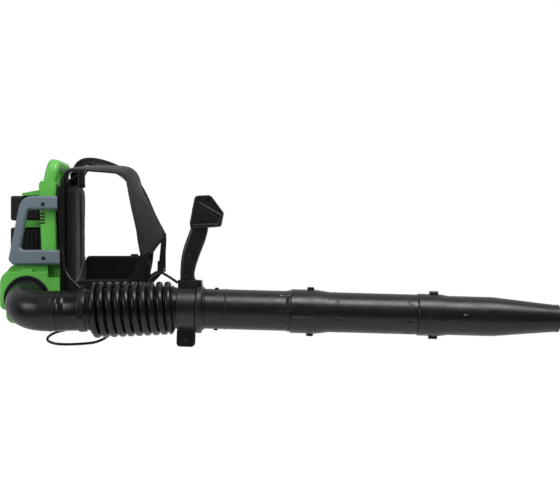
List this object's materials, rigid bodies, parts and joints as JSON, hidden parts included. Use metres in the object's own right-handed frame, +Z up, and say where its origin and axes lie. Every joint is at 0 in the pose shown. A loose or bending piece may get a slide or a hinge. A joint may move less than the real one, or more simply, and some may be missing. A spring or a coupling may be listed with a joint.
{
  "type": "backpack leaf blower",
  "caption": "Battery backpack leaf blower: fan housing with packs, guards and harness on a back frame, elbow, ribbed hose, control handle on a clamp, twist-lock tubes and nozzle.",
  "frame": {"origin": "on the flat underside of the fan housing, below the fan axis, in the middle plane", "axes": "+X the way the wearer faces and the tubes point, +Y to the wearer's left, +Z up"},
  "size_m": [1.472, 0.4053, 0.5121],
  "materials": {
    "green_plastic": "fine satin moulding grain",
    "slate_plastic": "fine matt moulding grain",
    "black_duct": "satin blow-moulded plastic",
    "black_plastic": "matt textured moulding",
    "pack_plastic": "matt moulded case",
    "black_rubber": "satin flexible rubber",
    "black_fabric": "woven nylon over foam",
    "black_webbing": "ribbed polyester webbing",
    "steel": "turned or plated steel",
    "dark_screws": "black oxide",
    "aluminium": "cast, unpainted"
  },
  "bodies": {
    "chassis": {"fan_housing_right": "green_plastic", "fan_housing_left": "green_plastic", "intake_grille": "black_plastic", "stator": "black_plastic", "motor": "steel", "bearing_outlet": "steel", "bearing_inlet": "steel", "tail_cone": "black_plastic", "elbow": "black_duct", "outlet_ring": "black_plastic", "hose_clamp": "black_plastic", "battery_dock": "green_plastic", "terminal_block_lower": "black_plastic", "terminal_block_upper": "black_plastic", "controller": "aluminium", "column_right": "green_plastic", "column_left": "green_plastic", "guard_right": "slate_plastic", "guard_left": "slate_plastic", "guard_screws": "dark_screws", "carry_handle": "green_plastic", "back_frame": "black_plastic", "back_pad": "black_fabric", "shoulder_strap_right": "black_fabric", "shoulder_strap_left": "black_fabric", "strap_web_right": "black_webbing", "strap_web_left": "black_webbing", "ladder_lock_right": "black_plastic", "ladder_lock_left": "black_plastic", "load_strap_right": "black_webbing", "load_strap_left": "black_webbing", "hip_belt_right": "black_fabric", "hip_belt_left": "black_fabric", "belt_buckle_right": "black_plastic", "belt_buckle_left": "black_plastic", "control_cable": "black_rubber", "cable_gland": "black_rubber"},
    "fan": {"impeller": "black_plastic", "motor_shaft": "steel"},
    "battery_upper": {"battery_upper": "pack_plastic"},
    "battery_lower": {"battery_lower": "pack_plastic"},
    "latch_upper": {"latch_upper": "black_plastic"},
    "latch_lower": {"latch_lower": "black_plastic"},
    "hose": {"hose": "black_rubber"},
    "cuff": {"front_cuff": "black_duct"},
    "handle": {"handle_clamp": "black_plastic", "clamp_bolt": "dark_screws", "handle_shell_right": "black_plastic", "handle_shell_left": "black_plastic", "handle_screws": "dark_screws", "trigger_pin": "steel", "speed_switch": "black_plastic"},
    "trigger": {"trigger": "black_plastic"},
    "cruise_lever": {"cruise_lever": "black_plastic"},
    "boost_button": {"boost_button": "black_plastic"},
    "tube": {"swivel_collar": "black_plastic", "swivel_tube": "black_duct", "upper_tube": "black_duct"},
    "middle": {"middle_tube": "black_duct"},
    "nozzle": {"nozzle": "black_duct"}
  },
  "joints": [
    {"name": "fan_spin", "type": "hinge", "parent": "chassis", "child": "fan", "pos_m": [0, 0, 0.066], "axis": [0, 1, 0], "continuous": true},
    {"name": "battery_upper_slide", "type": "slide", "parent": "chassis", "child": "battery_upper", "axis": [-1, 0, 0], "range_m": [0, 0.1]},
    {"name": "battery_lower_slide", "type": "slide", "parent": "chassis", "child": "battery_lower", "axis": [-1, 0, 0], "range_m": [0, 0.1]},
    {"name": "latch_upper_press", "type": "slide", "parent": "battery_upper", "child": "latch_upper", "axis": [0, 0, -1], "range_m": [0, 0.004], "stiffness_N_per_m": 1500, "springref_m": -0.002},
    {"name": "latch_lower_press", "type": "slide", "parent": "battery_lower", "child": "latch_lower", "axis": [0, 0, -1], "range_m": [0, 0.004], "stiffness_N_per_m": 1500, "springref_m": -0.002},
    {"name": "hose_pitch", "type": "hinge", "parent": "chassis", "child": "hose", "pos_m": [0.228, -0.2053, 0.0405], "axis": [0, -1, 0], "range_deg": [-25, 25], "deforming": ["hose", "control_cable"]},
    {"name": "hose_yaw", "type": "hinge", "parent": "hose", "child": "cuff", "pos_m": [0.35, -0.2053, 0.0437], "axis": [0, 0, 1], "range_deg": [-20, 20], "deforming": ["hose", "control_cable"]},
    {"name": "handle_turn", "type": "hinge", "parent": "cuff", "child": "handle", "pos_m": [0.40879, -0.2053, 0.04523], "axis": [0.9996, 0, -0.0279], "range_deg": [-20, 20], "deforming": ["control_cable"]},
    {"name": "tube_swivel", "type": "hinge", "parent": "cuff", "child": "tube", "pos_m": [0.40879, -0.2053, 0.04523], "axis": [0.9996, 0, -0.0279], "continuous": true},
    {"name": "middle_twist", "type": "hinge", "parent": "tube", "child": "middle", "pos_m": [0.40879, -0.2053, 0.04523], "axis": [0.9996, 0, -0.0279], "range_deg": [0, 70]},
    {"name": "nozzle_twist", "type": "hinge", "parent": "middle", "child": "nozzle", "pos_m": [0.40879, -0.2053, 0.04523], "axis": [0.9996, 0, -0.0279], "range_deg": [0, 56]},
    {"name": "trigger_pull", "type": "hinge", "parent": "handle", "child": "trigger", "pos_m": [0.47679, -0.2053, 0.23823], "axis": [0, 1, 0], "range_deg": [0, 10], "stiffness_Nm_per_rad": 0.8, "springref_deg": -6.88},
    {"name": "cruise_turn", "type": "hinge", "parent": "handle", "child": "cruise_lever", "pos_m": [0.47679, -0.1833, 0.28323], "axis": [0, 1, 0], "range_deg": [0, 45]},
    {"name": "boost_press", "type": "slide", "parent": "handle", "child": "boost_button", "axis": [0.9819, 0, -0.1894], "range_m": [0, 0.0025], "stiffness_N_per_m": 900, "springref_m": -0.001}
  ]
}
